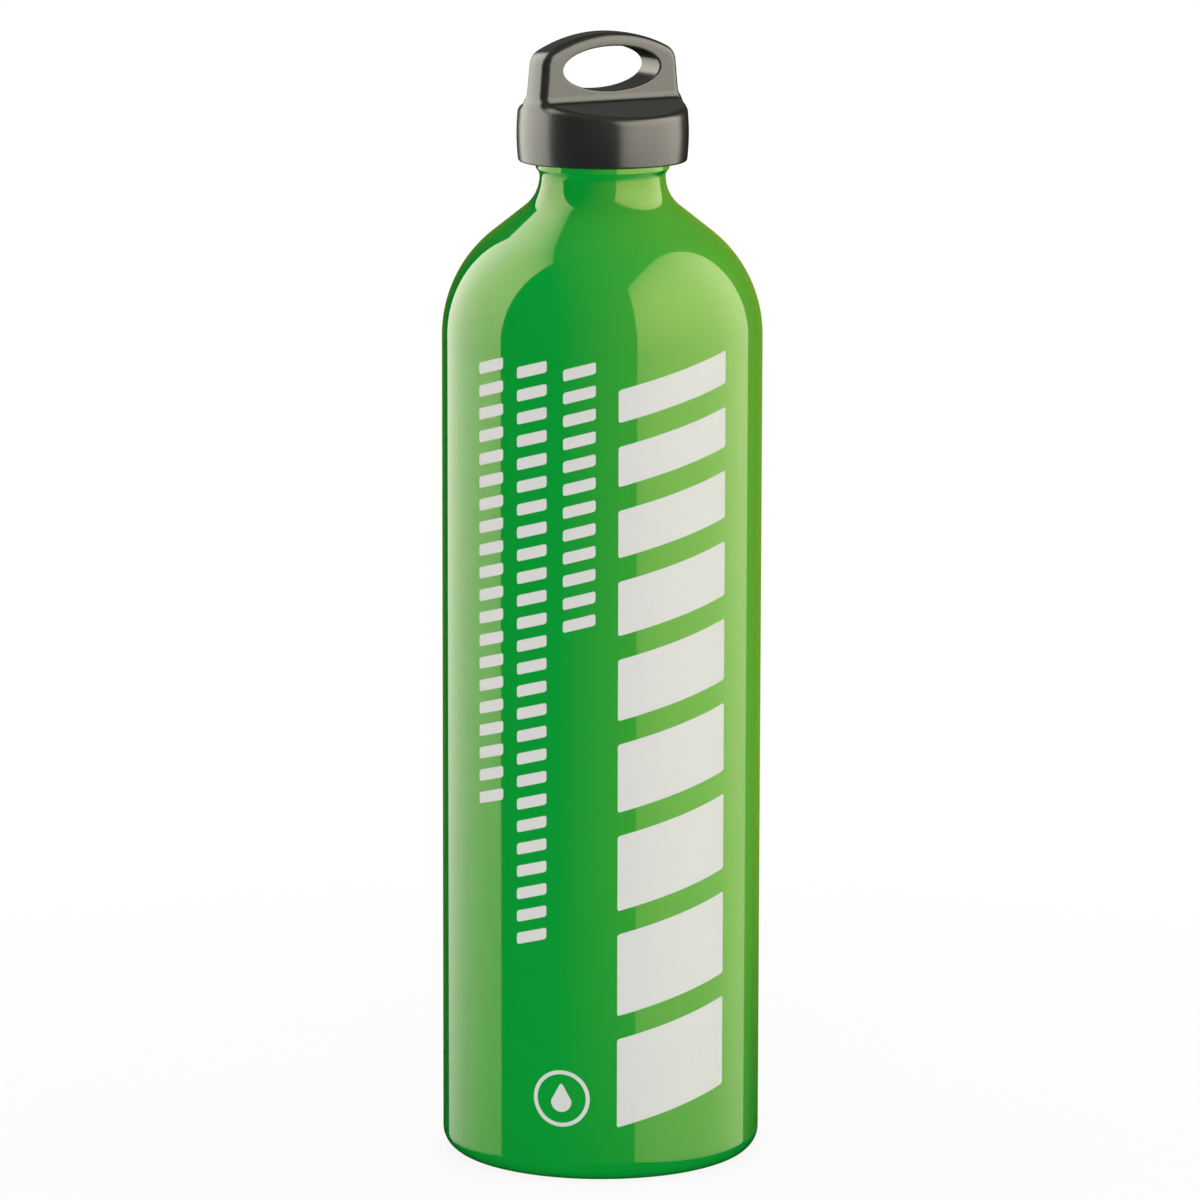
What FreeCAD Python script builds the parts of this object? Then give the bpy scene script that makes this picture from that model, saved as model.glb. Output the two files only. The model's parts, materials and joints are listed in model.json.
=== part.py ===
"""Camping fuel bottle with a push-and-turn cap, in millimetres.

A seamless aluminium bottle stands on its base ring, with its axis on Z and its origin at the centre of
the base. A threaded ring is set in its neck. A stopper screws into that ring and presses a flat gasket
on the rim. Over the stopper sits a cap shell with a carry loop along X. A spring holds the shell up, so
that it turns freely until it is pushed down and its dogs drop between those of the stopper.
"""

import FreeCAD
import Part
import math
import os

# Bottle
BODY_DIAMETER = 89.0
BOTTLE_HEIGHT = 282.5
BODY_WALL = 1.0
BASE_THICKNESS = 1.6
BASE_CORNER_RADIUS = 6.0
BASE_RING_WIDTH = 5.5
BASE_DOME_RISE = 5.0
SHOULDER_RADIUS = 36.5
SHOULDER_STRAIGHT = 11.6
NECK_HOLLOW_RADIUS = 10.7
NECK_WAIST_DIAMETER = 34.9
NECK_WALL = 1.4
LIP_OVERHANG = 1.05
LIP_HEIGHT = 4.7
LIP_FLARE_RADIUS = 2.6
LIP_EDGE_RADIUS = 0.7
LIP_TOP_ROUND = 1.55

# Thread between neck ring and stopper
THREAD_LEAD = 3.0
THREAD_DEPTH = 1.4
THREAD_RIDGE_FOOT = 1.5
THREAD_RIDGE_TIP = 0.9
THREAD_CLEARANCE = 0.5
THREAD_RIDGE_SINK = 0.2
NECK_RING_WALL = 1.4
NECK_RING_LENGTH = 12.0
NECK_RING_CLEARANCE = 0.05
NECK_RING_CHAMFER = 0.6
NECK_RING_TURNS = 2.75
NECK_RING_FIRST_TURN = 1.2

# Gasket on the rim
GASKET_THICKNESS = 1.5
GASKET_CLEARANCE = 0.3

# Stopper
STEM_LENGTH = 12.7
STEM_WALL = 2.4
STEM_TURNS = 2.5
STEM_FIRST_TURN = 1.8
STEM_CHAMFER = 0.6
STEM_ROOF = 1.5
FLANGE_THICKNESS = 2.2
FLANGE_EDGE_ROUND = 0.5
HUB_DIAMETER = 14.0
HUB_HEIGHT = 1.6
VENT_WIDTH = 2.5

# Dogs that couple shell and stopper while the shell is pushed down
DOG_COUNT = 12
DOG_ANGLE = 12.0
DOG_INNER_DIAMETER = 24.0
DOG_LENGTH = 6.0
DOG_HEIGHT = 1.5
DOG_GAP = 0.3
SHELL_DOG_HEIGHT = 2.2

# Spring between stopper and shell
SPRING_WIRE = 0.6
SPRING_TURNS = 2.0
SPRING_CLEARANCE = 0.1
SPRING_HUB_GAP = 1.0

# Retaining ring that holds the shell on the stopper
RETAINER_THICKNESS = 1.5
RETAINER_LIP_CLEARANCE = 1.55
RETAINER_HOLD = 0.9
RETAINER_GROOVE_DEPTH = 0.5
RETAINER_CLEARANCE = 0.05

# Cap shell
SHELL_CLEARANCE = 0.4
SKIRT_WALL = 2.0
SKIRT_BELOW_SEAT = 4.5
SKIRT_BELLY = 0.65
SKIRT_BELLY_HEIGHT = 6.7
SKIRT_BELLY_ROUND = 60.0
SKIRT_TOP_INSET = 0.0
SKIRT_BOTTOM_ROUND = 0.8
SKIRT_TOP_ROUND = 3.4
SHOULDER_ABOVE_ROOF = 6.1
FLARE_HEIGHT = 2.6
FLARE_INSET = 0.8
LOOP_ABOVE_ROOF = 25.1
LOOP_END_DRAFT = 5.3
LOOP_TOP_RADIUS = 43.0
LOOP_CORNER_RADIUS = 5.0
LOOP_THICKNESS = 10.4
LOOP_FACE_DRAFT = 1.0
POCKET_ABOVE_ROOF = 6.3
POCKET_SLOPE = 10.0
POCKET_FILLET = 2.6
POCKET_EDGE_ROUND = 2.7
EYE_LENGTH = 31.0
EYE_HEIGHT = 12.2
EYE_ABOVE_ROOF = 15.2
EYE_EDGE_ROUND = 0.6

# Radii worked out from the neck outwards
BODY_RADIUS = BODY_DIAMETER / 2
WAIST_RADIUS = NECK_WAIST_DIAMETER / 2
BORE_RADIUS = WAIST_RADIUS - NECK_WALL
LIP_RADIUS = WAIST_RADIUS + LIP_OVERHANG
RIM_FLAT_RADIUS = LIP_RADIUS - LIP_TOP_ROUND
NECK_RING_RADIUS = BORE_RADIUS - NECK_RING_CLEARANCE
RING_ROOT_RADIUS = NECK_RING_RADIUS - NECK_RING_WALL
STEM_CREST_RADIUS = RING_ROOT_RADIUS - THREAD_CLEARANCE
STEM_CORE_RADIUS = STEM_CREST_RADIUS - THREAD_DEPTH
RING_CREST_RADIUS = STEM_CORE_RADIUS + THREAD_CLEARANCE
RETAINER_INNER_RADIUS = LIP_RADIUS + RETAINER_LIP_CLEARANCE
FLANGE_RADIUS = RETAINER_INNER_RADIUS + RETAINER_HOLD
SHELL_BORE_RADIUS = FLANGE_RADIUS + SHELL_CLEARANCE
GROOVE_RADIUS = SHELL_BORE_RADIUS + RETAINER_GROOVE_DEPTH
SKIRT_RADIUS = SHELL_BORE_RADIUS + SKIRT_WALL
SPRING_RADIUS = HUB_DIAMETER / 2 + SPRING_HUB_GAP + SPRING_WIRE / 2

# Heights worked out from the rim upwards
SEAT_Z = BOTTLE_HEIGHT + GASKET_THICKNESS
FLANGE_TOP_Z = SEAT_Z + FLANGE_THICKNESS
LIP_FOOT_Z = BOTTLE_HEIGHT - LIP_HEIGHT
ROOF_Z = FLANGE_TOP_Z + DOG_HEIGHT + DOG_GAP + SHELL_DOG_HEIGHT
SKIRT_BOTTOM_Z = SEAT_Z - SKIRT_BELOW_SEAT
STEM_BOTTOM_Z = SEAT_Z - STEM_LENGTH
NECK_RING_BOTTOM_Z = BOTTLE_HEIGHT - NECK_RING_LENGTH
LOOP_TOP_Z = ROOF_Z + LOOP_ABOVE_ROOF

# Far enough out for a cutting tool to reach past the cap
CUT_REACH = 2 * SKIRT_RADIUS


def point(radius, z):
    """A point of a turned profile, in the XZ plane."""
    return FreeCAD.Vector(radius, 0, z)


def line(start, end):
    return Part.LineSegment(start, end).toShape()


def arc_about(centre, start, end):
    """The shorter arc from start to end about a centre, in the XZ plane."""
    middle = (start - centre) + (end - centre)
    middle.normalize()
    return Part.Arc(start, centre + middle * (start - centre).Length, end).toShape()


def polyline(points):
    return [line(a, b) for a, b in zip(points, points[1:])]


def turn(edges, degrees=360):
    """The solid of a closed profile turned about Z."""
    face = Part.Face(Part.Wire(edges))
    return face.revolve(FreeCAD.Vector(0, 0, 0), FreeCAD.Vector(0, 0, 1), degrees)


def ring(inner, outer, bottom, top):
    corners = [point(inner, bottom), point(outer, bottom), point(outer, top), point(inner, top)]
    return turn(polyline(corners + corners[:1]))


def circle_edges(shape, radius, z, tolerance=1e-4):
    """The full-circle edges of a turned shape with this radius at this height."""
    found = []
    for edge in shape.Edges:
        if edge.Degenerated or not isinstance(edge.Curve, Part.Circle):
            continue
        if abs(edge.Curve.Radius - radius) < tolerance and abs(edge.Curve.Center.z - z) < tolerance:
            found.append(edge)
    return found


def waist_height():
    """Height of the narrowest place of the neck, where the flare under the lip starts."""
    reach = LIP_FLARE_RADIUS + LIP_EDGE_RADIUS
    across = reach - LIP_OVERHANG
    return LIP_FOOT_Z - math.sqrt(reach**2 - across**2)


def shoulder_angle(body, convex, hollow, neck):
    """Turn of the shoulder, from the upright body to its straight stretch, so that it meets the neck."""
    both = convex + hollow
    across = neck + hollow - body + convex
    return math.acos(across / math.hypot(both, SHOULDER_STRAIGHT)) - math.atan2(SHOULDER_STRAIGHT, both)


def shoulder_rise(angle, convex, hollow):
    return (convex + hollow) * math.sin(angle) + SHOULDER_STRAIGHT * math.cos(angle)


def shoulder(body, convex, hollow, neck, start_z):
    """Edges from the body's upright wall up to the neck's waist: an arc, a straight and a hollow arc."""
    angle = shoulder_angle(body, convex, hollow, neck)
    out = point(math.cos(angle), math.sin(angle))
    up = point(-math.sin(angle), math.cos(angle))
    convex_centre = point(body - convex, start_z)
    first = point(body, start_z)
    second = convex_centre + out * convex
    third = second + up * SHOULDER_STRAIGHT
    hollow_centre = third + out * hollow
    waist = hollow_centre - point(hollow, 0)
    edges = [
        arc_about(convex_centre, first, second),
        line(second, third),
        arc_about(hollow_centre, third, waist),
    ]
    return edges, first, waist


def base_edges(body, corner, floor_z, dome_radius):
    """Edges of a base from the axis out to the upright wall: a dome, a flat ring and a round corner."""
    top = point(0, floor_z + BASE_DOME_RISE)
    foot = point(dome_radius, floor_z)
    ring_end = point(body - corner, floor_z)
    wall = point(body, floor_z + corner)
    sphere = (dome_radius**2 + BASE_DOME_RISE**2) / (2 * BASE_DOME_RISE)
    edges = [
        arc_about(top - point(0, sphere), top, foot),
        line(foot, ring_end),
        arc_about(point(body - corner, floor_z + corner), ring_end, wall),
    ]
    return edges, top, wall


def bottle_body():
    """The seamless shell: domed base, straight wall, round shoulder and a neck with a rolled lip."""
    waist_z = waist_height()
    angle = shoulder_angle(BODY_RADIUS, SHOULDER_RADIUS, NECK_HOLLOW_RADIUS, WAIST_RADIUS)
    shoulder_z = waist_z - shoulder_rise(angle, SHOULDER_RADIUS, NECK_HOLLOW_RADIUS)
    dome_radius = BODY_RADIUS - BASE_CORNER_RADIUS - BASE_RING_WIDTH
    outer_base, outer_top, outer_wall = base_edges(BODY_RADIUS, BASE_CORNER_RADIUS, 0, dome_radius)
    outer_shoulder, outer_start, waist = shoulder(
        BODY_RADIUS, SHOULDER_RADIUS, NECK_HOLLOW_RADIUS, WAIST_RADIUS, shoulder_z
    )
    flare_centre = waist + point(LIP_FLARE_RADIUS, 0)
    edge_centre = point(LIP_RADIUS - LIP_EDGE_RADIUS, LIP_FOOT_Z)
    towards = (edge_centre - flare_centre).normalize()
    flare_end = flare_centre + towards * LIP_FLARE_RADIUS
    lip_foot = point(LIP_RADIUS, LIP_FOOT_Z)
    round_centre = point(RIM_FLAT_RADIUS, BOTTLE_HEIGHT - LIP_TOP_ROUND)
    lip_side = round_centre + point(LIP_TOP_ROUND, 0)
    lip_top = round_centre + point(0, LIP_TOP_ROUND)
    lip = [
        arc_about(flare_centre, waist, flare_end),
        arc_about(edge_centre, flare_end, lip_foot),
        line(lip_foot, lip_side),
        arc_about(round_centre, lip_side, lip_top),
    ]
    inner_radius = BODY_RADIUS - BODY_WALL
    inner_base, inner_top, inner_wall = base_edges(
        inner_radius, BASE_CORNER_RADIUS - BODY_WALL, BASE_THICKNESS, dome_radius
    )
    inner_shoulder, inner_start, inner_waist = shoulder(
        inner_radius,
        SHOULDER_RADIUS - BODY_WALL,
        NECK_HOLLOW_RADIUS + NECK_WALL,
        BORE_RADIUS,
        shoulder_z,
    )
    bore_top = point(BORE_RADIUS, BOTTLE_HEIGHT)
    outside = outer_base + [line(outer_wall, outer_start)] + outer_shoulder + lip
    rim = [line(lip_top, bore_top), line(bore_top, inner_waist)]
    inside = inner_shoulder + [line(inner_start, inner_wall)] + inner_base
    return turn(Part.__sortEdges__(outside + rim + inside + [line(inner_top, outer_top)]))


def thread_ridge(root, crest, first_z, turns):
    """One helical ridge on a round wall. It sinks a little into the wall, so that the two join."""
    inwards = 1 if root > crest else -1
    foot = root + inwards * THREAD_RIDGE_SINK
    half_foot = THREAD_RIDGE_FOOT / 2
    half_tip = THREAD_RIDGE_TIP / 2
    corners = [
        point(foot, first_z - half_foot),
        point(crest, first_z - half_tip),
        point(crest, first_z + half_tip),
        point(foot, first_z + half_foot),
    ]
    path = Part.makeHelix(THREAD_LEAD, THREAD_LEAD * turns, root)
    path.translate(FreeCAD.Vector(0, 0, first_z))
    section = Part.Wire(polyline(corners + corners[:1]))
    return Part.Wire(path.Edges).makePipeShell([section], True, True)


def neck_thread_ring():
    """The ring set in the neck, with the inner thread that takes the stopper or a pump."""
    bottom = NECK_RING_BOTTOM_Z
    top = BOTTLE_HEIGHT
    corners = [
        point(RING_ROOT_RADIUS, bottom),
        point(NECK_RING_RADIUS, bottom),
        point(NECK_RING_RADIUS, top),
        point(RING_ROOT_RADIUS + NECK_RING_CHAMFER, top),
        point(RING_ROOT_RADIUS, top - NECK_RING_CHAMFER),
    ]
    wall = turn(polyline(corners + corners[:1]))
    ridge = thread_ridge(RING_ROOT_RADIUS, RING_CREST_RADIUS, bottom + NECK_RING_FIRST_TURN, NECK_RING_TURNS)
    return wall.fuse(ridge)


def rim_gasket():
    """The flat seal between the rim and the stopper's flange."""
    return ring(STEM_CREST_RADIUS + GASKET_CLEARANCE, RIM_FLAT_RADIUS, BOTTLE_HEIGHT, SEAT_Z)


def dogs(bottom, top, first_angle):
    """A crown of wedge-shaped dogs."""
    inner = DOG_INNER_DIAMETER / 2
    outer = inner + DOG_LENGTH
    corners = [point(inner, bottom), point(outer, bottom), point(outer, top), point(inner, top)]
    wedge = turn(polyline(corners + corners[:1]), DOG_ANGLE)
    crown = []
    for index in range(DOG_COUNT):
        dog = wedge.copy()
        degrees = first_angle - DOG_ANGLE / 2 + index * 360 / DOG_COUNT
        dog.rotate(FreeCAD.Vector(0, 0, 0), FreeCAD.Vector(0, 0, 1), degrees)
        crown.append(dog)
    return crown


def stopper():
    """The inner plug: a hollow threaded stem, a flange over the rim, and a hub and dogs on top."""
    hub_top = FLANGE_TOP_Z + HUB_HEIGHT
    hub = HUB_DIAMETER / 2
    hollow = STEM_CORE_RADIUS - STEM_WALL
    hollow_roof = SEAT_Z - STEM_ROOF + FLANGE_THICKNESS
    corners = [
        point(0, hollow_roof),
        point(hollow, hollow_roof),
        point(hollow, STEM_BOTTOM_Z),
        point(STEM_CORE_RADIUS - STEM_CHAMFER, STEM_BOTTOM_Z),
        point(STEM_CORE_RADIUS, STEM_BOTTOM_Z + STEM_CHAMFER),
        point(STEM_CORE_RADIUS, SEAT_Z),
        point(FLANGE_RADIUS, SEAT_Z),
        point(FLANGE_RADIUS, FLANGE_TOP_Z),
        point(hub, FLANGE_TOP_Z),
        point(hub, hub_top),
        point(0, hub_top),
    ]
    plug = turn(polyline(corners + corners[:1]))
    plug = plug.makeFillet(FLANGE_EDGE_ROUND, circle_edges(plug, FLANGE_RADIUS, FLANGE_TOP_Z))
    half_lead = THREAD_LEAD / 2
    ring_first = NECK_RING_BOTTOM_Z + NECK_RING_FIRST_TURN
    turns_up = math.ceil((STEM_BOTTOM_Z + STEM_FIRST_TURN - ring_first - half_lead) / THREAD_LEAD)
    first_z = ring_first + half_lead + turns_up * THREAD_LEAD
    ridge = thread_ridge(STEM_CORE_RADIUS, STEM_CREST_RADIUS, first_z, STEM_TURNS)
    plug = plug.fuse(ridge)
    vent_depth = STEM_CREST_RADIUS - STEM_CORE_RADIUS + THREAD_DEPTH
    vent = Part.makeBox(vent_depth, VENT_WIDTH, SEAT_Z - STEM_BOTTOM_Z - GASKET_THICKNESS)
    vent.translate(FreeCAD.Vector(STEM_CORE_RADIUS, -VENT_WIDTH / 2, STEM_BOTTOM_Z))
    plug = plug.cut(vent)
    return plug.fuse(dogs(FLANGE_TOP_Z, FLANGE_TOP_Z + DOG_HEIGHT, 0)).removeSplitter()


def push_spring():
    """The coil spring round the hub that holds the shell up."""
    bottom = FLANGE_TOP_Z + SPRING_CLEARANCE + SPRING_WIRE / 2
    top = ROOF_Z - SPRING_CLEARANCE - SPRING_WIRE / 2
    path = Part.makeHelix((top - bottom) / SPRING_TURNS, top - bottom, SPRING_RADIUS)
    path.translate(FreeCAD.Vector(0, 0, bottom))
    start = path.Edges[0]
    along = start.tangentAt(start.FirstParameter)
    section = Part.Wire(Part.makeCircle(SPRING_WIRE / 2, start.Vertexes[0].Point, along))
    return Part.Wire(path.Edges).makePipeShell([section], True, True)


def retaining_ring():
    """The snap ring in the skirt that catches under the stopper's flange."""
    outer = GROOVE_RADIUS - RETAINER_CLEARANCE
    return ring(RETAINER_INNER_RADIUS, outer, SEAT_Z - RETAINER_THICKNESS, SEAT_Z)


def shell_envelope():
    """The cap's outside as a turned form, before the two pockets leave the loop standing."""
    bottom = SKIRT_BOTTOM_Z
    shoulder_point = point(SKIRT_RADIUS - SKIRT_TOP_INSET, ROOF_Z + SHOULDER_ABOVE_ROOF)
    loop_foot = shoulder_point + point(-FLARE_INSET, FLARE_HEIGHT)
    draft = math.radians(LOOP_END_DRAFT)
    flare_out = point(math.cos(draft), math.sin(draft))
    span = loop_foot - shoulder_point
    flare_radius = -span.Length**2 / (2 * span.dot(flare_out))
    flare_centre = loop_foot + flare_out * flare_radius
    dome_centre = point(0, LOOP_TOP_Z - LOOP_TOP_RADIUS)
    dome_edge = end_on_dome(loop_foot, draft, dome_centre)
    dome_top = point(0, LOOP_TOP_Z)
    edges = polyline([
        point(0, bottom),
        point(SKIRT_RADIUS, bottom),
        point(SKIRT_RADIUS + SKIRT_BELLY, bottom + SKIRT_BELLY_HEIGHT),
        shoulder_point,
    ])
    edges += [
        arc_about(flare_centre, shoulder_point, loop_foot),
        line(loop_foot, dome_edge),
        arc_about(dome_centre, dome_edge, dome_top),
        line(dome_top, point(0, bottom)),
    ]
    form = turn(edges)
    form = form.makeFillet(SKIRT_BOTTOM_ROUND, circle_edges(form, SKIRT_RADIUS, bottom))
    belly = circle_edges(form, SKIRT_RADIUS + SKIRT_BELLY, bottom + SKIRT_BELLY_HEIGHT)
    form = form.makeFillet(SKIRT_BELLY_ROUND, belly)
    form = form.makeFillet(SKIRT_TOP_ROUND, circle_edges(form, shoulder_point.x, shoulder_point.z))
    return form.makeFillet(LOOP_CORNER_RADIUS, circle_edges(form, dome_edge.x, dome_edge.z))


def end_on_dome(foot, draft, dome_centre):
    """Where the loop's sloping end meets the dome over its top."""
    up = point(-math.sin(draft), math.cos(draft))
    from_centre = foot - dome_centre
    along = from_centre.dot(up)
    reach = math.sqrt(along**2 - from_centre.Length**2 + LOOP_TOP_RADIUS**2)
    return foot + up * (reach - along)


def pocket(side):
    """The tool that clears the space beside the loop, on the side of -Y or +Y."""
    floor_z = ROOF_Z + POCKET_ABOVE_ROOF
    face = LOOP_THICKNESS / 2
    top_z = LOOP_TOP_Z + POCKET_FILLET
    lean = (top_z - floor_z) * math.tan(math.radians(LOOP_FACE_DRAFT))
    drop = (CUT_REACH - face) * math.tan(math.radians(POCKET_SLOPE))
    corners = [
        FreeCAD.Vector(-CUT_REACH, side * face, floor_z),
        FreeCAD.Vector(-CUT_REACH, side * CUT_REACH, floor_z - drop),
        FreeCAD.Vector(-CUT_REACH, side * CUT_REACH, top_z),
        FreeCAD.Vector(-CUT_REACH, side * (face - lean), top_z),
    ]
    tool = Part.Face(Part.Wire(polyline(corners + corners[:1])))
    tool = tool.extrude(FreeCAD.Vector(2 * CUT_REACH, 0, 0))
    foot = [e for e in tool.Edges if is_pocket_foot(e, side * face, floor_z)]
    return tool.makeFillet(POCKET_FILLET, foot)


def is_pocket_foot(edge, y, z, tolerance=1e-6):
    return all(abs(v.Y - y) < tolerance and abs(v.Z - z) < tolerance for v in edge.Vertexes)


def shared_edges(shape, first, second, tolerance=1e-4):
    """Edges of a shape that run on the skins of both tools that made it."""
    skins = [first.Shells[0], second.Shells[0]]
    found = []
    for edge in shape.Edges:
        if edge.Degenerated:
            continue
        middle = Part.Vertex(edge.valueAt((edge.FirstParameter + edge.LastParameter) / 2))
        if all(skin.distToShape(middle)[0] < tolerance for skin in skins):
            found.append(edge)
    return found


def loop_eye():
    """The oval hole through the loop."""
    centre = FreeCAD.Vector(0, -CUT_REACH, ROOF_Z + EYE_ABOVE_ROOF)
    oval = Part.Ellipse(centre + FreeCAD.Vector(EYE_LENGTH / 2, 0, 0),
                        centre + FreeCAD.Vector(0, 0, EYE_HEIGHT / 2), centre)
    return Part.Face(Part.Wire(oval.toShape())).extrude(FreeCAD.Vector(0, 2 * CUT_REACH, 0))


def shell_hollow():
    """The space inside the skirt, with the groove of the retaining ring."""
    groove_bottom = SEAT_Z - RETAINER_THICKNESS - RETAINER_CLEARANCE
    bottom = SKIRT_BOTTOM_Z - SKIRT_BOTTOM_ROUND
    bore = ring(0, SHELL_BORE_RADIUS, bottom, ROOF_Z)
    return bore.fuse(ring(0, GROOVE_RADIUS, groove_bottom, SEAT_Z))


def cap_shell():
    """The outer cap: a skirt round the stopper, and the carry loop standing between two pockets."""
    body = shell_envelope()
    for side in (-1, 1):
        tool = pocket(side)
        cut = body.cut(tool)
        body = cut.makeFillet(POCKET_EDGE_ROUND, shared_edges(cut, body, tool))
    eye = loop_eye()
    cut = body.cut(eye)
    body = cut.makeFillet(EYE_EDGE_ROUND, shared_edges(cut, body, eye))
    body = body.cut(shell_hollow())
    half_pitch = 180 / DOG_COUNT
    return body.fuse(dogs(ROOF_Z - SHELL_DOG_HEIGHT, ROOF_Z, half_pitch)).removeSplitter()


def main():
    os.makedirs("parts", exist_ok=True)
    pieces = {
        "bottle_body": bottle_body(),
        "neck_thread_ring": neck_thread_ring(),
        "rim_gasket": rim_gasket(),
        "stopper": stopper(),
        "push_spring": push_spring(),
        "retaining_ring": retaining_ring(),
        "cap_shell": cap_shell(),
    }
    for name, shape in pieces.items():
        solids = shape.Solids
        assert shape.isValid() and len(solids) == 1, f"{name}: {len(solids)} solids"
        solids[0].exportStep(f"parts/{name}.step")
        print(name, "volume", round(shape.Volume, 1), "box", shape.BoundBox)


main()
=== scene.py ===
# %% [markdown]
# # A camping fuel bottle
#
# This lesson dresses a fuel bottle for a camping stove. The real one is a seamless aluminium
# bottle, painted a glossy green, with a black push-and-turn cap whose upright loop has an oval
# hole to carry it by. The solid model gives the fixed frame: seven pieces on five moving bodies.
# All lengths are in metres, Z is the axis of the bottle, and the cap's loop lies along X.

# %% Load the solid model
import json
import math

import bmesh
import bpy
from mathutils import Matrix, Quaternion, Vector

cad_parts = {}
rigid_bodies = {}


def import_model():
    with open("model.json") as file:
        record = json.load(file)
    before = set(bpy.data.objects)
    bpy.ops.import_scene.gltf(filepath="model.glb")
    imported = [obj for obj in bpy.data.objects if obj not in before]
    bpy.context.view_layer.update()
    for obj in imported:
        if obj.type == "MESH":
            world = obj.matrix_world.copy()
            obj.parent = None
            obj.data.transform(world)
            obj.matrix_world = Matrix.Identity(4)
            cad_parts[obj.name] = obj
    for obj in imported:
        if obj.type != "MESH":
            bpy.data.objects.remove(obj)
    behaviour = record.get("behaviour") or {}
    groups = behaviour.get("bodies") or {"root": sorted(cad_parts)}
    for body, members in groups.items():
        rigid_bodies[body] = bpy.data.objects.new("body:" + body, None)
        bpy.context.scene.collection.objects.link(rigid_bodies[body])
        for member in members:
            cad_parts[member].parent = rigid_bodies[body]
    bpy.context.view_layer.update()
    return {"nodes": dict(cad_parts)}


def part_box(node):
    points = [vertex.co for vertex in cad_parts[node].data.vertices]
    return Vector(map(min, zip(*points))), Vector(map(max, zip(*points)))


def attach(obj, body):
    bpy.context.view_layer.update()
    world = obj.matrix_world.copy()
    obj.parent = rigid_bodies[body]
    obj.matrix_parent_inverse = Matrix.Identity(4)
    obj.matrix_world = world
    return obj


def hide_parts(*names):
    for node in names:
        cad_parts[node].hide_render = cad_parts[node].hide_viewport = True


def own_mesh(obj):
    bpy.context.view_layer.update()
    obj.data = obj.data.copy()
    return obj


for leftover in list(bpy.data.objects):
    bpy.data.objects.remove(leftover)
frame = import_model()

# %% [markdown]
# ## Shader maths in plain Python
#
# A material is easier to read as a sum than as a chain of boxes. `Value` wraps one socket of a
# node, and its operators add the Math nodes. The reflected operators let a plain number come
# first, as in `1 - mask`.

# %% Values


class Value:
    """A socket that carries a number, a colour or a shader."""

    def __init__(self, finish, socket):
        self.finish = finish
        self.socket = socket

    def other(self, name):
        return Value(self.finish, self.socket.node.outputs[name])

    def maths(self, operation, *values):
        sockets = dict(enumerate((self, *values)))
        return self.finish.add("Math", {"operation": operation}, sockets)

    def __add__(self, value):
        return self.maths("ADD", value)

    def __mul__(self, value):
        return self.maths("MULTIPLY", value)

    def __sub__(self, value):
        return self.maths("SUBTRACT", value)

    def __rsub__(self, value):
        return self * -1 + value

    __radd__ = __add__
    __rmul__ = __mul__

    def over(self, floor):
        """How far the value is over a floor, and 0 below it."""
        return (self - floor).maths("MAXIMUM", 0)

    def between(self, low, high):
        """0 below low, 1 above high, and a smooth step from one to the other."""
        settings = {"interpolation_type": "SMOOTHSTEP"}
        sockets = {"Value": self, "From Min": low, "From Max": high}
        return self.finish.add("MapRange", settings, sockets)


# %% [markdown]
# Every other node comes from `Finish.add`, which takes the node's type, its settings, and the
# values or links of its sockets. The few groups of nodes that most finishes need have a short
# method each. All patterns read Object coordinates, so they stay on the piece when it moves.

# %% Finishes


class Finish:
    """The node tree of one material, world or lamp."""

    def __init__(self, owner):
        owner.use_nodes = True
        self.tree = owner.node_tree
        self.tree.nodes.clear()

    def add(self, kind, settings=None, sockets=None, output=0):
        node = self.tree.nodes.new("ShaderNode" + kind)
        for name, value in (settings or {}).items():
            setattr(node, name, value)
        for name, value in (sockets or {}).items():
            if isinstance(value, Value):
                self.tree.links.new(value.socket, node.inputs[name])
            else:
                node.inputs[name].default_value = value
        return Value(self, node.outputs[output]) if node.outputs else None

    def place(self):
        return self.add("TexCoord", output="Object")

    def reach_and_height(self):
        """How far a place is from the Z axis, and how high it is."""
        x = self.add("SeparateXYZ", None, {0: self.place()})
        y, z = x.other("Y"), x.other("Z")
        square = x * x + y * y
        return square.maths("SQRT"), z

    def noise(self, per_metre, detail=2.0):
        sockets = {"Vector": self.place(), "Scale": per_metre, "Detail": detail}
        return self.add("TexNoise", None, sockets)

    def blend(self, factor, first, second):
        return self.add("Mix", {"data_type": "RGBA"}, {0: factor, 6: first, 7: second}, 2)

    def bump(self, height, distance):
        return self.add("Bump", None, {"Height": height, "Distance": distance})


def new_finish(name, swatch, mix):
    """A material whose surface is the shader that mix makes."""
    material = bpy.data.materials.new(name)
    material.diffuse_color = swatch
    finish = Finish(material)
    finish.add("OutputMaterial", None, {"Surface": mix(finish)})
    print("finish", name, "has", len(finish.tree.nodes), "nodes")
    return material


# %% [markdown]
# ## Gloss paint
#
# The bottle is sprayed and baked, so the paint is hard and very glossy. A Principled shader with
# little roughness already has the two layers that matter, a coloured body and a clear reflection
# on top. Three small things keep it from looking like computer paint: the colour drifts a little,
# the gloss is uneven, and the surface has the faint waviness that painters call orange peel. The
# tint makes the reflection a little yellow where the paint is looked at straight on, as it is in
# the photo.

# %% Gloss paint
MICRON = 0.000001
GREEN, DEEP_GREEN = (0.003, 0.266, 0.030, 1), (0.003, 0.254, 0.028, 1)
YELLOW_TINT = (1.0, 0.79, 0.42, 1)


def gloss_paint(finish):
    drift, haze, orange_peel = finish.noise(9), finish.noise(60), finish.noise(420, 1)
    return finish.add("BsdfPrincipled", None, {
        "Base Color": finish.blend(drift, GREEN, DEEP_GREEN),
        "Roughness": haze * 0.03 + 0.035,
        "IOR": 1.6,
        "Specular Tint": YELLOW_TINT,
        "Normal": finish.bump(orange_peel, 2 * MICRON),
    })


paint = new_finish("gloss_green_paint", GREEN, gloss_paint)

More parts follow.
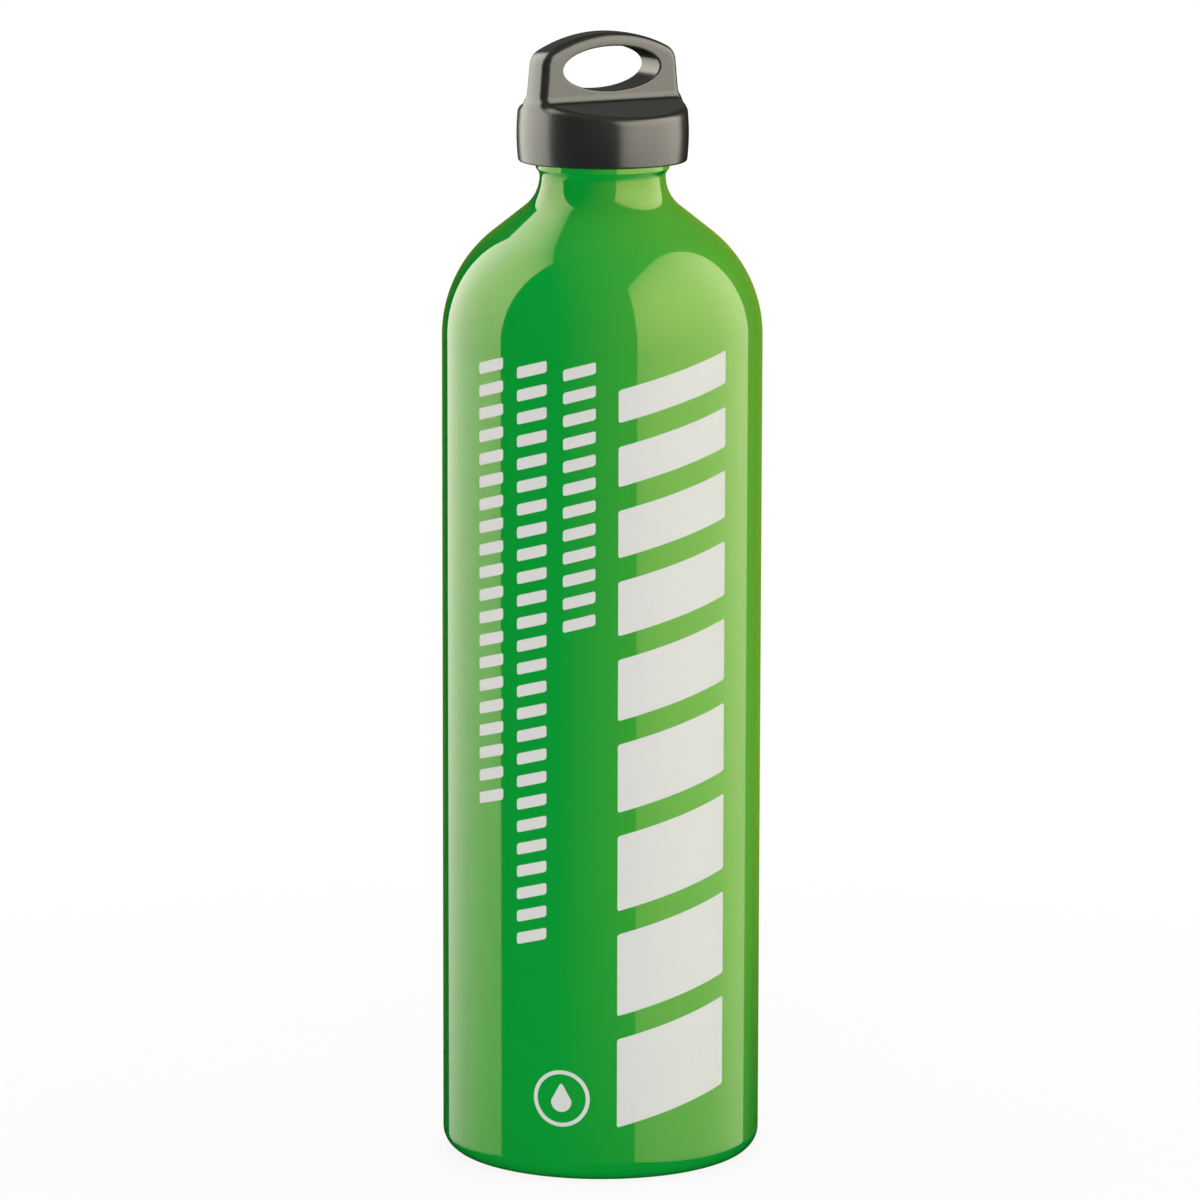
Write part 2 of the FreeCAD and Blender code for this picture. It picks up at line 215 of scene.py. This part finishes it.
# %% [markdown]
# ## Bare metal
#
# Under the cap the paint stops. The rim and the ring in the neck are turned on a lathe, which
# leaves fine rings round the axis, so their bump is a sine of the distance from the axis plus the
# height. The inside is only drawn and washed: a duller, slightly warm grey with cloudy stains.

# %% Bare metal
ALUMINIUM, DULL_ALUMINIUM = (0.80, 0.80, 0.81, 1), (0.72, 0.72, 0.73, 1)
STAINED, WASHED = (0.60, 0.58, 0.53, 1), (0.70, 0.69, 0.67, 1)
RING_SPACING = 0.0003927


def turned_metal(finish):
    reach, height = finish.reach_and_height()
    rings = (reach + height) * (math.tau / RING_SPACING)
    return finish.add("BsdfPrincipled", None, {
        "Base Color": finish.blend(finish.noise(70, 3), ALUMINIUM, DULL_ALUMINIUM),
        "Metallic": 1.0,
        "Roughness": finish.noise(160, 3) * 0.2 + 0.2,
        "Normal": finish.bump(rings.maths("SINE"), 3 * MICRON),
    })


def drawn_metal(finish):
    stain = finish.noise(35, 4)
    return finish.add("BsdfPrincipled", None, {
        "Base Color": finish.blend(stain, STAINED, WASHED),
        "Metallic": 1.0,
        "Roughness": stain * 0.25 + 0.35,
        "Normal": finish.bump(finish.noise(900), 4 * MICRON),
    })


turned = new_finish("turned_aluminium", ALUMINIUM, turned_metal)
drawn = new_finish("drawn_aluminium", ALUMINIUM, drawn_metal)
spring_wire = new_finish("spring_wire", ALUMINIUM, turned_metal)

# %% [markdown]
# ## Black plastics and rubber
#
# The cap is moulded in a satin black plastic. A blasted steel mould leaves a fine grain, which
# breaks the reflections up into a soft sheen. The stopper and the snap ring are plainer
# mouldings, and the seal is dull rubber, so one recipe with a few numbers serves them all.

# %% Plastics and rubber
CAP_BLACK = (0.015, 0.018, 0.015, 1)
UNEVEN = 0.1


def moulded(dark, light, roughness, grain, depth):
    """A finish of two near colours, with so many grains per metre and so deep."""

    def mix(finish):
        cloud = finish.noise(60)
        return finish.add("BsdfPrincipled", None, {
            "Base Color": finish.blend(cloud, dark, light),
            "Roughness": cloud * UNEVEN + (roughness - UNEVEN / 2),
            "IOR": 1.72,
            "Normal": finish.bump(finish.noise(grain), depth),
        })

    return mix


cap_black = new_finish("satin_black_cap", CAP_BLACK, moulded(
    CAP_BLACK, (0.020, 0.022, 0.019, 1), roughness=0.25, grain=2600, depth=4 * MICRON))
stopper_black = new_finish("satin_black_stopper", CAP_BLACK, moulded(
    (0.045, 0.045, 0.046, 1), (0.060, 0.060, 0.062, 1),
    roughness=0.42, grain=2400, depth=10 * MICRON))
ring_grey = new_finish("snap_ring_plastic", CAP_BLACK, moulded(
    (0.070, 0.070, 0.072, 1), (0.090, 0.090, 0.092, 1),
    roughness=0.38, grain=2400, depth=10 * MICRON))
rubber = new_finish("dull_rubber", CAP_BLACK, moulded(
    (0.014, 0.014, 0.014, 1), (0.022, 0.022, 0.021, 1),
    roughness=0.72, grain=1600, depth=20 * MICRON))

# %% [markdown]
# The cap, the stopper and three other small pieces are right as the solid model has them, so they
# stay and only get their finish.

# %% Dress the pieces that stay
for node, finish in {"cap_shell": cap_black, "stopper": stopper_black, "retaining_ring": ring_grey,
                     "rim_gasket": rubber, "neck_thread_ring": turned}.items():
    frame["nodes"][node].material_slots[0].material = finish
    print(node, "gets", finish.name)

# %% [markdown]
# ## A lathe
#
# A press draws the real bottle from one slug of metal and spins its shoulder and neck, so it is
# round everywhere. In Blender it is turned from half of its section. The section is drawn as a
# pen would draw it, with straight runs and arcs: a vertex that is spun round a point leaves an
# arc behind it.

# %% A pen


def spun_end(made):
    """The vertices at the end of a spin."""
    return [item for item in made["geom_last"] if isinstance(item, bmesh.types.BMVert)]


def arc_on(bm, tip, centre, degrees, steps):
    """Carry the vertex on along an arc in the XZ plane; positive turns go from outside upwards."""
    made = bmesh.ops.spin(bm, geom=[tip], cent=(centre[0], 0, centre[1]), axis=(0, -1, 0),
                          angle=math.radians(degrees), steps=steps)
    return spun_end(made)[0]


def run_on(bm, tip, r, z):
    """Carry the vertex on along a straight run."""
    end = bmesh.ops.extrude_vert_indiv(bm, verts=[tip])["verts"][0]
    end.co = (r, 0, z)
    return end


# %% [markdown]
# Each stroke of the pen is spun round the axis and gets one finish. When all strokes of a shell
# are done, its faces are turned outwards. A count of open edges tells whether it is closed.

# %% Strokes and shells
MM = 0.001
SPIN_STEPS = 240


def stroke(bm, start, moves, finish):
    """Draw moves from the point start and spin them round the axis. Returns where they end.

    A move of two numbers is a run to that point. A move of four is an arc: its centre, its
    degrees and its steps.
    """
    old_verts, old_faces = set(bm.verts), set(bm.faces)
    tip = bm.verts.new((start[0], 0, start[1]))
    for move in moves:
        tip = run_on(bm, tip, *move) if len(move) == 2 else arc_on(bm, tip, move[:2], *move[2:])
    end = (tip.co.x, tip.co.z)
    line = [vert for vert in bm.verts if vert not in old_verts]
    edges = list({edge for vert in line for edge in vert.link_edges})
    bmesh.ops.spin(bm, geom=line + edges, cent=(0, 0, 0), axis=(0, 0, 1), angle=math.tau,
                   steps=SPIN_STEPS, use_merge=True)
    for face in set(bm.faces) - old_faces:
        face.material_index = finish
    return end


def turn_outwards(bm):
    """Turn the faces of a closed shell outwards and measure it."""
    bmesh.ops.recalc_face_normals(bm, faces=bm.faces)
    print("open edges:", sum(edge.is_boundary for edge in bm.edges),
          "volume:", round(bm.calc_volume() / MM**3, 1), "mm3")


def new_piece(name, bm, finishes, crease=20):
    """Smooth the mesh, keep edges sharper than crease degrees sharp, and make it an object."""
    for face in bm.faces:
        face.smooth = True
    for edge in bm.edges:
        edge.smooth = edge.calc_face_angle(0) < math.radians(crease)
    mesh = bpy.data.meshes.new(name)
    bm.to_mesh(mesh)
    bm.free()
    for finish in finishes:
        mesh.materials.append(finish)
    piece = bpy.data.objects.new(name, mesh)
    bpy.context.scene.collection.objects.link(piece)
    print(name, "has", len(mesh.polygons), "faces")
    return piece


# %% [markdown]
# ## The section of the bottle
#
# The sizes are those of the solid model. The shoulder is an arc, a short straight and a hollow
# arc that ends upright at the waist, and the slope of the straight follows from the radii and
# diameters. The base is a shallow dome on a standing ring, and the lip is an upright collar that
# overhangs a small flare. The painted wall lies 0.03 mm under that of the solid model, which
# leaves room for the film of ink.

# %% The section of the bottle
FILM = 0.03 * MM
BODY, WAIST, BORE, HEIGHT = 44.5 * MM - FILM, 17.45 * MM, 16.05 * MM, 282.5 * MM
CONVEX, STRAIGHT, HOLLOW = 36.5 * MM, 11.6 * MM, 10.7 * MM
LIP, LIP_FOOT = 18.5 * MM, 277.8 * MM
FLARE, LIP_EDGE, LIP_ROUND = 2.6 * MM, 0.7 * MM, 1.55 * MM
FOOT, DOME, CORNER = 33 * MM, 5 * MM, 6 * MM


def shoulder_slope(body, convex, hollow, waist):
    """How far the straight leans in from upright, in radians, and how high the shoulder is."""
    both = convex + hollow
    across = waist + hollow - body + convex
    lean = math.acos(across / math.hypot(both, STRAIGHT)) - math.atan2(STRAIGHT, both)
    return lean, both * math.sin(lean) + STRAIGHT * math.cos(lean)


def shoulder_moves(body, convex, hollow, waist, start):
    """From the straight wall up to the waist."""
    lean, rise = shoulder_slope(body, convex, hollow, waist)
    top_r = body - convex + convex * math.cos(lean) - STRAIGHT * math.sin(lean)
    top_z = start + convex * math.sin(lean) + STRAIGHT * math.cos(lean)
    turn = math.degrees(lean)
    return [(body - convex, start, turn, 40), (top_r, top_z),
            (waist + hollow, start + rise, -turn, 24)]


def base_moves(body, corner, floor):
    """From the axis out over the dome and the standing ring, round the corner to the wall."""
    sphere = (FOOT**2 + DOME**2) / (2 * DOME)
    turn = math.degrees(math.asin(FOOT / sphere))
    ring_end = body - corner
    return [(0, floor + DOME - sphere, -turn, 16), (ring_end, floor),
            (ring_end, floor + corner, 90, 16)]


flare_r, edge_r = WAIST + FLARE, LIP - LIP_EDGE
flare_z = LIP_FOOT - math.sqrt((FLARE + LIP_EDGE) ** 2 - (flare_r - edge_r) ** 2)
flare_turn = math.degrees(math.atan2(LIP_FOOT - flare_z, flare_r - edge_r))
rim_r, round_z = LIP - LIP_ROUND, HEIGHT - LIP_ROUND
shoulder_z = flare_z - shoulder_slope(BODY, CONVEX, HOLLOW, WAIST)[1]
print("shoulder starts at", round(shoulder_z / MM, 2), "mm, waist at", round(flare_z / MM, 2), "mm")

# %% [markdown]
# ## Turn the bottle
#
# Three strokes make the closed shell: the painted outside up to the lip, the bare rim with the
# neck's bore, and the inside, drawn from the base up. Merging the doubles joins the strokes and
# closes the two poles.

# %% Turn the bottle
WALL, BASE_WALL = 1 * MM, 1.6 * MM
PAINTED_ROUND = 55
coats = [paint, turned, drawn]
bm = bmesh.new()
outside = base_moves(BODY, CORNER, 0) + [(BODY, shoulder_z)]
outside += shoulder_moves(BODY, CONVEX, HOLLOW, WAIST, shoulder_z)
outside += [(flare_r, flare_z, -flare_turn, 10), (edge_r, LIP_FOOT, flare_turn, 8)]
outside += [(LIP, round_z), (rim_r, round_z, PAINTED_ROUND, 10)]
paint_end = stroke(bm, (0, DOME), outside, coats.index(paint))
rim = [(rim_r, round_z, 90 - PAINTED_ROUND, 6), (BORE, HEIGHT), (BORE, flare_z)]
stroke(bm, paint_end, rim, coats.index(turned))
inside = base_moves(BODY - WALL, CORNER - WALL, BASE_WALL) + [(BODY - WALL, shoulder_z)]
inside += shoulder_moves(BODY - WALL, CONVEX - WALL, HOLLOW + WAIST - BORE, BORE, shoulder_z)
inside += [(BORE, flare_z)]
stroke(bm, (0, BASE_WALL + DOME), inside, coats.index(drawn))
bmesh.ops.remove_doubles(bm, verts=bm.verts, dist=1e-7)
turn_outwards(bm)
bottle = new_piece("bottle", bm, coats, crease=12)
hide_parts("bottle_body")
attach(bottle, "bottle")

# %% [markdown]
# ## The spring
#
# A short coil of steel wire round the stopper's hub holds the cap up, and is squeezed when the cap
# is pushed down. It is built as a mesh of its own: a small disc, the section of the wire, is spun
# round the axis and rises a little at each step. Here the coil rides on the spring's body and keeps
# its shape.

# %% Wind the spring
WIRE, TURNS, WIND_STEPS = 0.6 * MM, 2, 96
foot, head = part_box("push_spring")
bm = bmesh.new()
disc = bmesh.ops.create_circle(bm, cap_ends=True, segments=12, radius=WIRE / 2,
                               matrix=Matrix.Rotation(math.pi / 2, 4, "X"))["verts"]
bmesh.ops.translate(bm, verts=disc, vec=(head.x - WIRE / 2, 0, foot.z + WIRE / 2))
bmesh.ops.spin(bm, geom=bm.verts[:] + bm.edges[:] + bm.faces[:], cent=(0, 0, 0), axis=(0, 0, 1),
               angle=TURNS * math.tau, steps=WIND_STEPS,
               dvec=(0, 0, (head.z - foot.z - WIRE) / WIND_STEPS))
turn_outwards(bm)
spring = new_piece("coil_spring", bm, [spring_wire], crease=50)
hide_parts("push_spring")
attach(spring, "spring")
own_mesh(spring)
print("coil from", round(foot.z / MM, 2), "to", round(head.z / MM, 2), "mm")

# %% [markdown]
# ## The print
#
# The bottle is printed through a screen, with pale grey ink, on the side that faces us. The
# design is a generic one: a stack of slanted bars that thin out upwards, three columns of short
# bars, and a drop in a ring. Ink is a thin film, so each mark is a curved sheet with a little
# thickness that sits half sunk in the paint.

# %% Ink
INK, THIN_INK = (0.575, 0.565, 0.550, 1), (0.545, 0.545, 0.525, 1)


def screen_ink(finish):
    cover = finish.noise(1500, 3)
    return finish.add("BsdfPrincipled", None, {
        "Base Color": finish.blend(cover, INK, THIN_INK),
        "Roughness": cover * 0.1 + 0.5,
        "Specular IOR Level": 0.3,
        "Normal": finish.bump(cover, 5 * MICRON),
    })


ink = new_finish("pale_grey_ink", INK, screen_ink)

# %% [markdown]
# A bar is one short upright edge that is swept round the wall. With a rise at each step of the
# spin the bar slants. The photo's camera looks from -121.5 degrees, so angles are counted from
# there, to the right.

# %% A bar and a film
VIEW = -121.5
BAR_STEP = 1.2
BAR_CORNER = 0.7 * MM


def ink_point(degrees, z):
    """A point on top of the ink: degrees to the right of the middle of the photo, and a height."""
    angle = math.radians(VIEW + degrees)
    return Vector(((BODY + FILM) * math.cos(angle), (BODY + FILM) * math.sin(angle), z))


def bar(bm, left, right, low, high, rise):
    """A bar between two angles, from low to high at its left end, its right end higher by rise."""
    steps = max(2, round((right - left) / BAR_STEP))
    ends = [bm.verts.new(ink_point(left, z)) for z in (low, high)]
    edge = bm.edges.new(ends)
    made = bmesh.ops.spin(bm, geom=ends + [edge], cent=(0, 0, 0), axis=(0, 0, 1),
                          angle=math.radians(right - left), dvec=(0, 0, rise / steps), steps=steps)
    bmesh.ops.bevel(bm, geom=ends + spun_end(made), offset=BAR_CORNER, affect="VERTICES",
                    segments=4, profile=0.5, material=-1)


def print_film(name, bm):
    """Turn the sheet's faces outwards, give it thickness and lay it on the bottle."""
    bm.normal_update()
    inward = [face for face in bm.faces
              if face.normal.dot(face.calc_center_median() * Vector((1, 1, 0))) < 0]
    bmesh.ops.reverse_faces(bm, faces=inward)
    bmesh.ops.solidify(bm, geom=bm.faces, thickness=2 * FILM)
    film = new_piece(name, bm, [ink], crease=40)
    radii = [math.hypot(vert.co.x, vert.co.y) / MM for vert in film.data.vertices]
    print(name, "lies between radii", round(min(radii), 3), "and", round(max(radii), 3), "mm")
    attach(film, "bottle")
    return film


# %% [markdown]
# The large bars stand on each other with even gaps, each less high than the one below. The short
# bars hang in columns from one height.

# %% Bars and columns
STACK_LEFT, STACK_RIGHT, STACK_RISE = 5.8, 49.3, 9 * MM
STACK_FOOT, STACK_GAP, STACK_COUNT = 16 * MM, 6.6 * MM, 9
HIGHEST, LOWEST = 25 * MM, 9 * MM
COLUMN_TOP, COLUMN_PITCH, HALF_COLUMN = 224 * MM, 6.3 * MM, 5.8
SHORT_BAR, SHORT_RISE = 3.2 * MM, 2.4 * MM
COLUMNS = {-8.0: 12, -25.6: 26, -43.2: 20}

bm = bmesh.new()
low = STACK_FOOT
for number in range(STACK_COUNT):
    high = low + HIGHEST - (HIGHEST - LOWEST) * number / (STACK_COUNT - 1)
    bar(bm, STACK_LEFT, STACK_RIGHT, low, high, STACK_RISE)
    low = high + STACK_GAP
bars = print_film("slanted_bars", bm)
print("bars reach", round((high + STACK_RISE) / MM), "mm")

bm = bmesh.new()
for middle, count in COLUMNS.items():
    for number in range(count):
        low = COLUMN_TOP - COLUMN_PITCH * number
        bar(bm, middle - HALF_COLUMN, middle + HALF_COLUMN, low, low + SHORT_BAR, SHORT_RISE)
columns = print_film("columns", bm)

# %% [markdown]
# The ring and the drop are drawn flat, cut into narrow strips and then wrapped round the wall, so
# that they follow its curve. The drop is a disc whose upper half is drawn in and stretched.

# %% Ring and drop
RING_INSIDE, RING_OUTSIDE = 6.9 * MM, 8 * MM
DROP, DROP_SHIFT = 2.9 * MM, -0.9 * MM
DRAW_IN, STRETCH = 0.45, 0.75
MARK_ANGLE, MARK_HEIGHT = -14.2, 24 * MM
STRIP = 1.2 * MM


def wrap(bm, degrees, height):
    """Cut the flat drawing into strips and wrap it on the wall with its middle at this place."""
    strips = math.ceil(RING_OUTSIDE / STRIP)
    for cut in range(-strips, strips + 1):
        bmesh.ops.bisect_plane(bm, geom=bm.verts[:] + bm.edges[:] + bm.faces[:], dist=1e-7,
                               plane_co=(cut * STRIP, 0, 0), plane_no=(1, 0, 0))
    for vert in bm.verts:
        vert.co = ink_point(degrees + math.degrees(vert.co.x / BODY), height + vert.co.y)


bm = bmesh.new()
bmesh.ops.create_circle(bm, segments=72, radius=RING_INSIDE)
outer = bmesh.ops.extrude_edge_only(bm, edges=bm.edges[:])["geom"]
outer = [item for item in outer if isinstance(item, bmesh.types.BMVert)]
wider = RING_OUTSIDE / RING_INSIDE
bmesh.ops.scale(bm, vec=(wider, wider, 1), verts=outer)
drop = bmesh.ops.create_circle(bm, cap_ends=True, segments=48, radius=DROP)["verts"]
for vert in drop:
    if vert.co.y > 0:
        up = vert.co.y / DROP
        vert.co.x *= 1 - DRAW_IN * up**1.5
        vert.co.y *= 1 + STRETCH * up**2
bmesh.ops.translate(bm, vec=(0, DROP_SHIFT, 0), verts=drop)
wrap(bm, MARK_ANGLE, MARK_HEIGHT)
mark = print_film("drop_mark", bm)

# %% [markdown]
# ## The studio
#
# The photo was taken between two tall softboxes in a dark room and cut out on white. In it the
# cap neither shows in the paint nor shades it. So the cap's pieces are hidden from mirror rays,
# and every lamp hangs twice in the same place: once for the painted pieces, with nothing but
# paint in its way, and once for everything else. Light linking does the sorting, with one
# collection of pieces that a lamp lights alone and one of pieces that it leaves out.

# %% Lamps for two groups
TARGET = Vector((0, 0, 0.1563))
UP = Vector((0, 0, 1))
painted, unpainted = (bpy.data.collections.new(name) for name in ("painted", "unpainted"))
for piece in (bottle, bars, columns, mark):
    painted.objects.link(piece)
    unpainted.objects.link(piece)
for entry in unpainted.collection_objects:
    entry.light_linking.link_state = "EXCLUDE"
for node in ("cap_shell", "stopper", "retaining_ring", "rim_gasket"):
    frame["nodes"][node].visible_glossy = False
spring.visible_glossy = False


def towards(degrees):
    """A level direction, in degrees to the right of the camera."""
    angle = math.radians(VIEW + degrees)
    return Vector((math.cos(angle), math.sin(angle), 0))


def hang(lamp, place, aim, groups):
    """Hang a lamp up once for each group of pieces."""
    lights = []
    for group in groups:
        light = bpy.data.objects.new(f"{lamp.name}_on_{group.name}", lamp)
        bpy.context.scene.collection.objects.link(light)
        light.location = place
        light.rotation_euler = aim.to_track_quat("-Z", "Y").to_euler()
        light.visible_camera = False
        light.light_linking.receiver_collection = group
        if group == painted:
            light.light_linking.blocker_collection = painted
        lights.append(light)
    print(lamp.name, "hangs", round(place.length, 2), "m away for", len(lights))
    return lights


# %% [markdown]
# A softbox is a flat lamp whose brightness changes from place to place. The print is no brighter
# beside the boxes in the photo, so these sheets of light only show in the gloss and light nothing
# else. Their energy is set for a brightness of 1, which the glow then scales.

# %% Sheets of light


def along(place, direction):
    """How far a place lies along a direction."""
    sockets = {0: place, 1: direction}
    return place.finish.add("VectorMath", {"operation": "DOT_PRODUCT"}, sockets, "Value")


def sheet(name, middle, aim, size, colour, glow, groups):
    """A flat light that only shows in the gloss. glow gives its brightness from a place on it."""
    lamp = bpy.data.lights.new(name, "AREA")
    lamp.shape = "RECTANGLE"
    lamp.size, lamp.size_y = size
    lamp.energy = math.pi * lamp.size * lamp.size_y
    lamp.color = colour
    finish = Finish(lamp)
    place = finish.add("NewGeometry", None, None, "Position")
    emission = finish.add("Emission", None, {"Color": glow(place)})
    finish.add("OutputLight", None, {"Surface": emission})
    for light in hang(lamp, middle, aim, groups):
        light.visible_diffuse = False


# %% [markdown]
# The edges of the softboxes show as clean lines in the gloss, so their directions can be worked
# out from the paint: the right one starts 24 degrees to the right of the camera and has a round
# upper corner, the left one reaches from 75 to 145 degrees to the left. Both run down past the
# floor, because the wall mirrors places a little below level. Each is brightest about twice as
# high as the bottle and fades up and down from there.

# %% Softboxes
AWAY, BOTTOM = 0.6, -0.3
BRIGHTEST = 0.68
RIGHT_GLOW, LEFT_GLOW = 3.85, 3.93
RIGHT_LEAST = 0.44
ROUND_FOOT, ROUND_RISE, ROUND_REACH = 0.75, 0.645, 0.69


def softbox(name, facing, first, last, top, colour, glow):
    """An upright sheet square to the direction facing, between the directions first and last."""
    near, far = (AWAY * math.tan(math.radians(edge - facing)) for edge in (first, last))
    side = towards(facing + 90)
    middle = towards(facing) * AWAY + side * (near + far) / 2 + UP * (top + BOTTOM) / 2
    sheet(name, middle, -towards(facing), (far - near, top - BOTTOM), colour,
          lambda place: glow(along(place, side), along(place, UP)), (painted, unpainted))


def cloth(height, fall):
    """The brightness of a softbox's cloth: 1 beside its lamp, and less by fall a metre away."""
    off = height - BRIGHTEST
    return 1 - off * off * fall


def right_glow(across, height):
    """Round at its far upper corner, and a fifth dimmer at both sides."""
    out, up = across.over(0) * (1 / ROUND_REACH), height.over(ROUND_FOOT) * (1 / ROUND_RISE)
    corner = 1 - (out * out + up * up).between(0.98, 1.02)
    sides = across.between(-0.9, -0.3) * 0.2 - across.between(0.3, 0.75) * 0.2 + 0.8
    level = cloth(height, 1.0).over(RIGHT_LEAST) + RIGHT_LEAST
    return level * corner * sides * RIGHT_GLOW


def left_glow(across, height):
    """A tenth dimmer at one side."""
    return cloth(height, 0.87) * (across.between(-0.45, -0.2) * 0.1 + 0.9) * LEFT_GLOW


softbox("right_softbox", facing=78, first=24.5, last=130, top=ROUND_FOOT + ROUND_RISE,
        colour=(1.0, 0.93, 0.80), glow=right_glow)
softbox("left_softbox", facing=-108, first=-145, last=-75.5, top=1.6,
        colour=(1.0, 0.97, 0.85), glow=left_glow)

# %% [markdown]
# The cap also shows something dim behind it: on the loop's top, in the eye and on the ledge in
# front of the loop. A grey card that is linked to the cap alone stands in for it.

# %% Card behind the cap
CARD_HEIGHT, CARD_SIZE = 0.55, (0.44, 0.8)


def dim_card(place):
    height = along(place, UP)
    return height.between(0.25, 0.35) * 0.1 + height.between(0.4, 0.55) * 0.03


sheet("back_card", towards(180) * AWAY + UP * CARD_HEIGHT, -towards(180), CARD_SIZE,
      (1.0, 1.0, 0.9), dim_card, (unpainted,))

# %% [markdown]
# The light that makes the colours comes from four large lamps all round, the strongest of them in
# front, and one overhead. They are hidden from mirror rays, because they don't show in the paint.
# Together they are as strong as it takes for a colour to look as written.

# %% Soft light
LAMP_SIZE, LAMP_AWAY, LAMP_ABOVE = 0.9, 1.25, 1.3
for name, away, watts in (("front_light", towards(0) * LAMP_AWAY, 14),
                          ("right_light", towards(95) * LAMP_AWAY, 8),
                          ("back_light", towards(180) * LAMP_AWAY, 9.6),
                          ("left_light", towards(-95) * LAMP_AWAY, 5.6),
                          ("top_light", UP * LAMP_ABOVE, 15.5)):
    lamp = bpy.data.lights.new(name, "AREA")
    lamp.size = LAMP_SIZE
    lamp.energy = watts
    for light in hang(lamp, TARGET + away, -away, (painted, unpainted)):
        light.visible_glossy = False

# %% [markdown]
# The room around them is a dark box that the camera doesn't see: it looks through it at a white
# world. Between the softboxes the paint shows a faint yellow-green glow that grows from the middle
# of the bottle to its right edge. It comes from a screen just inside the room that only the paint
# mirrors, and its level depends on the direction alone.

# %% Room and screen
ROOM, SCREEN = 7, 6.8
DARK, BLACK = (0.05, 0.05, 0.05, 1), (0, 0, 0, 1)
YELLOW_GREEN = (0.70, 1.0, 0.05, 1)


def dark_cloth(finish):
    return finish.add("BsdfDiffuse", None, {"Color": DARK})


def green_glow(finish):
    """Brighter to the right, dimmer behind the bottle, and none low down."""
    way = finish.add("VectorMath", {"operation": "NORMALIZE"}, {0: finish.place()})
    right, back, up = (along(way, axis) for axis in (towards(90), towards(180), UP))
    behind = back.between(0.3, 0.9) * (1 - up.between(-0.3, -0.165) * 0.5)
    height = up.between(-0.34, -0.2) * (up.between(-0.1, 0.5) * 0.2 + 0.93)
    level = (right * 0.5 + 0.25).over(0) * (1 - behind) * height
    colour = finish.blend(level, BLACK, YELLOW_GREEN)
    return finish.add("Emission", None, {"Color": colour, "Strength": 2.45})


def hollow_box(name, size, mix):
    """A box that is seen from inside, but not by the camera."""
    bm = bmesh.new()
    bmesh.ops.create_cube(bm, size=size)
    bmesh.ops.reverse_faces(bm, faces=bm.faces)
    box = new_piece(name, bm, [new_finish(name + "_cloth", DARK, mix)])
    box.visible_camera = False
    return box


room = hollow_box("room", ROOM, dark_cloth)
screen = hollow_box("screen", SCREEN, green_glow)
screen.visible_diffuse = False
screen.light_linking.receiver_collection = painted

# %% [markdown]
# The floor is white to the camera and keeps a soft shadow under the bottle, which fades out with
# the distance. To all other rays it is a pale cloth. It doesn't show in the gloss, because in the
# photo the paint mirrors no floor.

# %% Floor and world
FLOOR = 3
WHITE = (1, 1, 1, 1)


def white_floor(finish):
    away = finish.reach_and_height()[0].between(0.08, 0.45)
    seen = finish.add("LightPath", None, None, "Is Camera Ray")
    cloth = finish.add("BsdfDiffuse", None, {"Color": (0.8, 0.8, 0.8, 1)})
    glow = finish.add("Emission", None, {"Strength": 1.0})
    return finish.add("MixShader", None, {0: seen * (away * 0.1 + 0.9), 1: cloth, 2: glow})


bm = bmesh.new()
bmesh.ops.create_grid(bm, x_segments=1, y_segments=1, size=FLOOR)
floor = new_piece("floor", bm, [new_finish("white_floor", WHITE, white_floor)])
floor.visible_glossy = False

world = bpy.data.worlds.new("white_world")
bpy.context.scene.world = world
finish = Finish(world)
background = finish.add("Background", None, {"Color": WHITE})
finish.add("OutputWorld", None, {"Surface": background})
bpy.context.scene.view_settings.view_transform = "Standard"

# %% [markdown]
# ## The camera
#
# The outline in the photo fits a long lens, 1.9 m away and 10 degrees above level, that looks at
# the loop from 31.5 degrees to its left. The picture leans by an eighth of a degree.

# %% Camera
DISTANCE, LIFT, ROLL = 1.907, math.radians(10), math.radians(0.12)
FOCAL_LENGTH, SENSOR = 204.9, 36
ASIDE = 0.47 * MM
lens = bpy.data.cameras.new("photo_camera")
lens.sensor_fit = "HORIZONTAL"
lens.sensor_width = SENSOR
lens.lens = FOCAL_LENGTH
camera = bpy.data.objects.new("photo_camera", lens)
bpy.context.scene.collection.objects.link(camera)
aim_point = TARGET - towards(90) * ASIDE
camera.location = aim_point + DISTANCE * (towards(0) * math.cos(LIFT) + UP * math.sin(LIFT))
aim = (aim_point - camera.location).to_track_quat("-Z", "Y")
camera.rotation_euler = (aim @ Quaternion(UP, ROLL)).to_euler()
bpy.context.scene.camera = camera
print("camera at", [round(number, 3) for number in camera.location])
